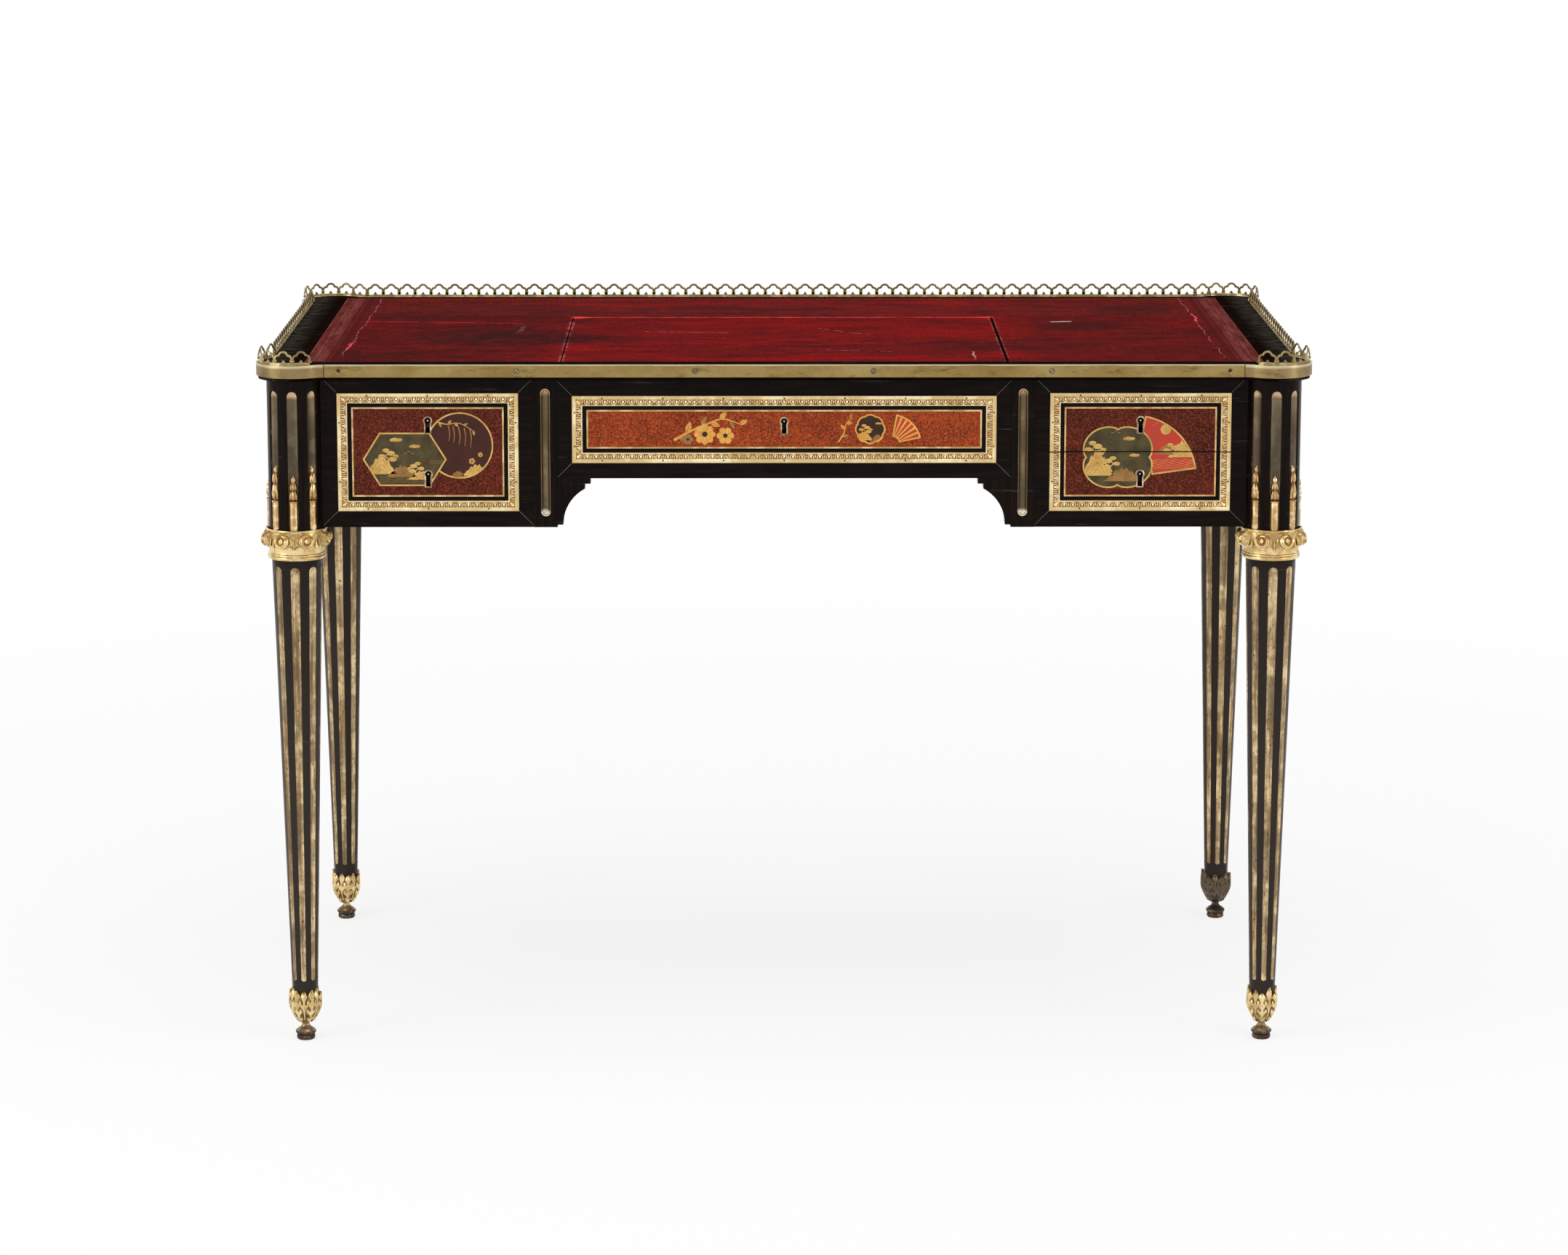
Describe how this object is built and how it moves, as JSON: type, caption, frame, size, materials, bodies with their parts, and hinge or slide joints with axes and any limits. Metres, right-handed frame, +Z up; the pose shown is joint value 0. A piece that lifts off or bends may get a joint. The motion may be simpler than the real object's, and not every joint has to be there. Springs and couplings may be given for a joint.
{
  "type": "bureau plat",
  "caption": "Flat-topped writing desk on turned fluted legs, with a leather-lined top, a lift-up centre flap, a pierced gallery and framed frieze drawers.",
  "frame": {"origin": "on the floor, midway between the four legs", "axes": "+X to the right along the width, -Y to the front where a person sits, +Z up"},
  "size_m": [1.128, 0.58, 0.7657],
  "materials": {
    "ebonised_wood": "polished near-black",
    "aged_brass": "rubbed, dulled",
    "gilt_bronze": "gilt, chased",
    "crimson_leather": "polished, worn",
    "oak": "bare, aged",
    "dark_lacquer": "dark red-brown lacquer with gold flakes",
    "bright_lacquer": "orange-brown lacquer with gold flakes",
    "lock_steel": "dull"
  },
  "bodies": {
    "carcass": {"top_board": "ebonised_wood", "leg_front_left": "ebonised_wood", "leg_front_right": "ebonised_wood", "leg_back_left": "ebonised_wood", "leg_back_right": "ebonised_wood", "front_frame_left": "ebonised_wood", "front_frame_centre": "ebonised_wood", "front_frame_right": "ebonised_wood", "pilasters": "ebonised_wood", "kneehole_brackets": "ebonised_wood", "side_panels": "ebonised_wood", "back_panels": "ebonised_wood", "edge_bands": "aged_brass", "edge_band_corners": "aged_brass", "edge_screws": "aged_brass", "gallery_back": "aged_brass", "gallery_left": "aged_brass", "gallery_right": "aged_brass", "gallery_corners": "aged_brass", "column_flute_linings": "aged_brass", "leg_flute_linings": "aged_brass", "pilaster_flutes": "aged_brass", "flute_husks": "gilt_bronze", "leg_collars": "gilt_bronze", "leaf_shoes": "gilt_bronze", "fixed_mouldings": "gilt_bronze", "writing_leather": "crimson_leather", "partitions": "oak", "case_bottoms": "oak", "dust_board": "oak", "drawer_runners": "oak", "flap_well": "oak", "fixed_lacquer": "dark_lacquer"},
    "flap": {"flap_board": "ebonised_wood", "flap_leather": "crimson_leather"},
    "left_drawer": {"left_drawer_front": "ebonised_wood", "left_drawer_mounts": "gilt_bronze", "left_drawer_lacquer": "dark_lacquer", "left_drawer_box": "oak", "left_drawer_lock": "lock_steel"},
    "left_bolt": {"left_drawer_bolt": "lock_steel"},
    "centre_drawer": {"centre_drawer_front": "ebonised_wood", "centre_drawer_mounts": "gilt_bronze", "centre_drawer_lacquer": "bright_lacquer", "centre_drawer_box": "oak", "centre_drawer_lock": "lock_steel"},
    "centre_bolt": {"centre_drawer_bolt": "lock_steel"},
    "upper_drawer": {"upper_drawer_front": "ebonised_wood", "upper_drawer_mounts": "gilt_bronze", "upper_drawer_lacquer": "dark_lacquer", "upper_drawer_box": "oak", "upper_drawer_lock": "lock_steel"},
    "upper_bolt": {"upper_drawer_bolt": "lock_steel"},
    "lower_drawer": {"lower_drawer_front": "ebonised_wood", "lower_drawer_mounts": "gilt_bronze", "lower_drawer_lacquer": "dark_lacquer", "lower_drawer_box": "oak", "lower_drawer_lock": "lock_steel"},
    "lower_bolt": {"lower_drawer_bolt": "lock_steel"}
  },
  "joints": [
    {"name": "flap_hinge", "type": "hinge", "parent": "carcass", "child": "flap", "pos_m": [0, 0.094, 0.75], "axis": [-1, 0, 0], "range_deg": [0, 100]},
    {"name": "left_drawer_slide", "type": "slide", "parent": "carcass", "child": "left_drawer", "axis": [0, -1, 0], "range_m": [0, 0.34]},
    {"name": "centre_drawer_slide", "type": "slide", "parent": "carcass", "child": "centre_drawer", "axis": [0, -1, 0], "range_m": [0, 0.34]},
    {"name": "upper_drawer_slide", "type": "slide", "parent": "carcass", "child": "upper_drawer", "axis": [0, -1, 0], "range_m": [0, 0.34]},
    {"name": "lower_drawer_slide", "type": "slide", "parent": "carcass", "child": "lower_drawer", "axis": [0, -1, 0], "range_m": [0, 0.34]},
    {"name": "left_bolt_rise", "type": "slide", "parent": "left_drawer", "child": "left_bolt", "axis": [0, 0, 1], "range_m": [0, 0.008]},
    {"name": "centre_bolt_rise", "type": "slide", "parent": "centre_drawer", "child": "centre_bolt", "axis": [0, 0, 1], "range_m": [0, 0.008]},
    {"name": "upper_bolt_rise", "type": "slide", "parent": "upper_drawer", "child": "upper_bolt", "axis": [0, 0, 1], "range_m": [0, 0.008]},
    {"name": "lower_bolt_rise", "type": "slide", "parent": "lower_drawer", "child": "lower_bolt", "axis": [0, 0, 1], "range_m": [0, 0.008]}
  ]
}
